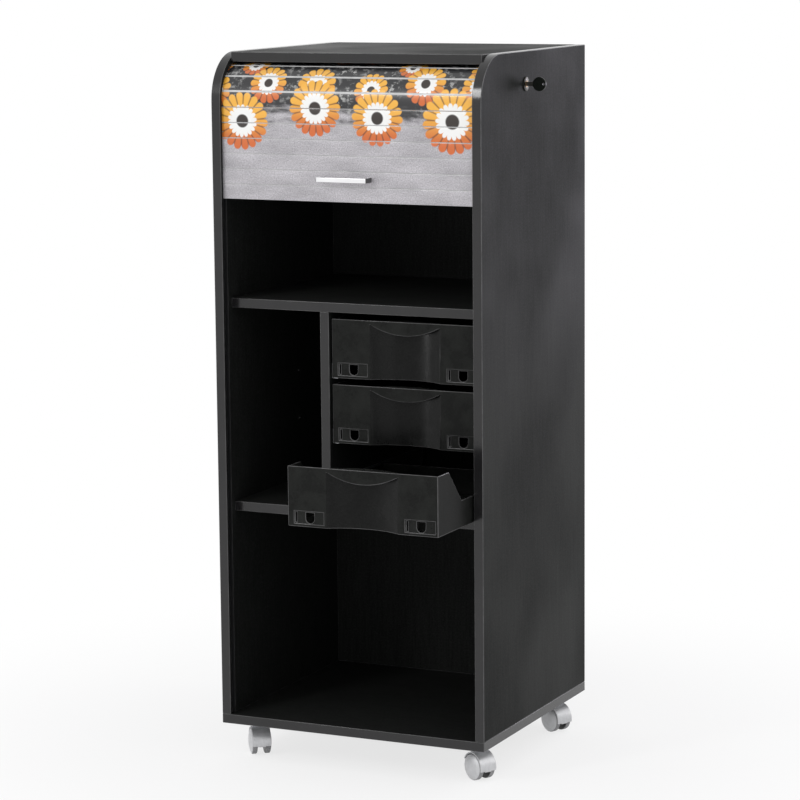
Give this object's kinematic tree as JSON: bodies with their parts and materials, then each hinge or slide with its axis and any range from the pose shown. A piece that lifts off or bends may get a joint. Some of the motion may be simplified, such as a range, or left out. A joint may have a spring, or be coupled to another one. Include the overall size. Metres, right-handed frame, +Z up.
{
  "type": "mobile filing pedestal",
  "caption": "Tall black filing tower on twin-wheel castors with a roller shutter, hanging-file bay, narrow bay beside moulded drawers, open binder bay and side cylinder lock.",
  "frame": {"origin": "on the floor, under the middle of the carcass", "axes": "+X to the right, +Y to the back, +Z up, seen from the open front"},
  "size_m": [0.516, 0.5756, 1.182],
  "materials": {
    "board": "black melamine on chipboard, faint wood grain",
    "back_board": "black melamine on thin board",
    "black_plastic": "moulded, matt",
    "slat_plastic": "printed slats, satin",
    "white_plastic": "moulded, glossy",
    "steel": "zinc-plated",
    "brass": "turned",
    "nickel": "nickel-plated",
    "castor_silver": "silver lacquer",
    "wheel_plastic": "silver face, black tread",
    "dowel_wood": "beech, raw"
  },
  "bodies": {
    "carcass": {"base_panel": "board", "side_panel_left": "board", "side_panel_right": "board", "top_panel": "board", "back_panel": "back_board", "inner_back_panel": "back_board", "upper_shelf": "board", "lower_shelf": "board", "divider": "board", "track_left": "black_plastic", "track_right": "black_plastic", "hanging_rail_front": "steel", "hanging_rail_rear": "steel", "rail_brackets": "black_plastic", "runners_left": "steel", "runners_right": "steel", "carcass_screws": "steel", "cam_discs": "steel", "cam_bolts": "steel", "divider_dowels": "dowel_wood", "back_screws": "steel", "castor_screws": "steel", "fitting_screws": "steel", "shutter_slats_arc": "slat_plastic", "shutter_slats_top": "slat_plastic", "shutter_slats_rear": "slat_plastic", "lock_body": "nickel", "lock_nut": "steel", "lock_stop": "steel", "castor_plate_fl": "steel", "castor_plate_fr": "steel", "castor_plate_br": "steel", "castor_plate_bl": "steel"},
    "shutter": {"shutter_end_slat": "slat_plastic", "shutter_slats_front": "slat_plastic", "shutter_handle": "white_plastic", "handle_screws": "steel"},
    "drawer_1": {"drawer_1": "black_plastic"},
    "drawer_2": {"drawer_2": "black_plastic"},
    "drawer_3": {"drawer_3": "black_plastic"},
    "key": {"lock_plug": "brass", "lock_cam": "steel", "key_blade": "nickel", "key_head": "black_plastic"},
    "castor_fl": {"castor_hood_fl": "castor_silver", "castor_axle_fl": "steel"},
    "wheel_fl_a": {"castor_wheel_fl_a": "wheel_plastic"},
    "wheel_fl_b": {"castor_wheel_fl_b": "wheel_plastic"},
    "castor_fr": {"castor_hood_fr": "castor_silver", "castor_axle_fr": "steel"},
    "wheel_fr_a": {"castor_wheel_fr_a": "wheel_plastic"},
    "wheel_fr_b": {"castor_wheel_fr_b": "wheel_plastic"},
    "castor_br": {"castor_hood_br": "castor_silver", "castor_axle_br": "steel"},
    "wheel_br_a": {"castor_wheel_br_a": "wheel_plastic"},
    "wheel_br_b": {"castor_wheel_br_b": "wheel_plastic"},
    "castor_bl": {"castor_hood_bl": "castor_silver", "castor_axle_bl": "steel"},
    "wheel_bl_a": {"castor_wheel_bl_a": "wheel_plastic"},
    "wheel_bl_b": {"castor_wheel_bl_b": "wheel_plastic"}
  },
  "joints": [
    {"name": "shutter_slide", "type": "slide", "parent": "carcass", "child": "shutter", "axis": [0, 0, -1], "range_m": [0, 0.4]},
    {"name": "drawer_1_slide", "type": "slide", "parent": "carcass", "child": "drawer_1", "axis": [0, 1, 0], "range_m": [-0.25, 0]},
    {"name": "drawer_2_slide", "type": "slide", "parent": "carcass", "child": "drawer_2", "axis": [0, 1, 0], "range_m": [-0.25, 0]},
    {"name": "drawer_3_slide", "type": "slide", "parent": "carcass", "child": "drawer_3", "axis": [0, 1, 0], "range_m": [-0.085, 0.165]},
    {"name": "key_turn", "type": "hinge", "parent": "carcass", "child": "key", "pos_m": [0.24, -0.04, 1.129], "axis": [1, 0, 0], "range_deg": [0, 90]},
    {"name": "castor_fl_swivel", "type": "hinge", "parent": "carcass", "child": "castor_fl", "pos_m": [-0.201, -0.165, 0.0545], "axis": [0, 0, 1], "continuous": true},
    {"name": "wheel_fl_a_spin", "type": "hinge", "parent": "castor_fl", "child": "wheel_fl_a", "pos_m": [-0.19498, -0.17299, 0.022], "axis": [0.7986, 0.6018, 0], "continuous": true},
    {"name": "wheel_fl_b_spin", "type": "hinge", "parent": "castor_fl", "child": "wheel_fl_b", "pos_m": [-0.19498, -0.17299, 0.022], "axis": [0.7986, 0.6018, 0], "continuous": true},
    {"name": "castor_fr_swivel", "type": "hinge", "parent": "carcass", "child": "castor_fr", "pos_m": [0.201, -0.165, 0.0545], "axis": [0, 0, 1], "continuous": true},
    {"name": "wheel_fr_a_spin", "type": "hinge", "parent": "castor_fr", "child": "wheel_fr_a", "pos_m": [0.20966, -0.17, 0.022], "axis": [0.5, 0.866, 0], "continuous": true},
    {"name": "wheel_fr_b_spin", "type": "hinge", "parent": "castor_fr", "child": "wheel_fr_b", "pos_m": [0.20966, -0.17, 0.022], "axis": [0.5, 0.866, 0], "continuous": true},
    {"name": "castor_br_swivel", "type": "hinge", "parent": "carcass", "child": "castor_br", "pos_m": [0.201, 0.165, 0.0545], "axis": [0, 0, 1], "continuous": true},
    {"name": "wheel_br_a_spin", "type": "hinge", "parent": "castor_br", "child": "wheel_br_a", "pos_m": [0.20983, 0.16031, 0.022], "axis": [0.4695, 0.8829, 0], "continuous": true},
    {"name": "wheel_br_b_spin", "type": "hinge", "parent": "castor_br", "child": "wheel_br_b", "pos_m": [0.20983, 0.16031, 0.022], "axis": [0.4695, 0.8829, 0], "continuous": true},
    {"name": "castor_bl_swivel", "type": "hinge", "parent": "carcass", "child": "castor_bl", "pos_m": [-0.201, 0.165, 0.0545], "axis": [0, 0, 1], "continuous": true},
    {"name": "wheel_bl_a_spin", "type": "hinge", "parent": "castor_bl", "child": "wheel_bl_a", "pos_m": [-0.20866, 0.15857, 0.022], "axis": [0.6428, -0.766, 0], "continuous": true},
    {"name": "wheel_bl_b_spin", "type": "hinge", "parent": "castor_bl", "child": "wheel_bl_b", "pos_m": [-0.20866, 0.15857, 0.022], "axis": [0.6428, -0.766, 0], "continuous": true}
  ]
}
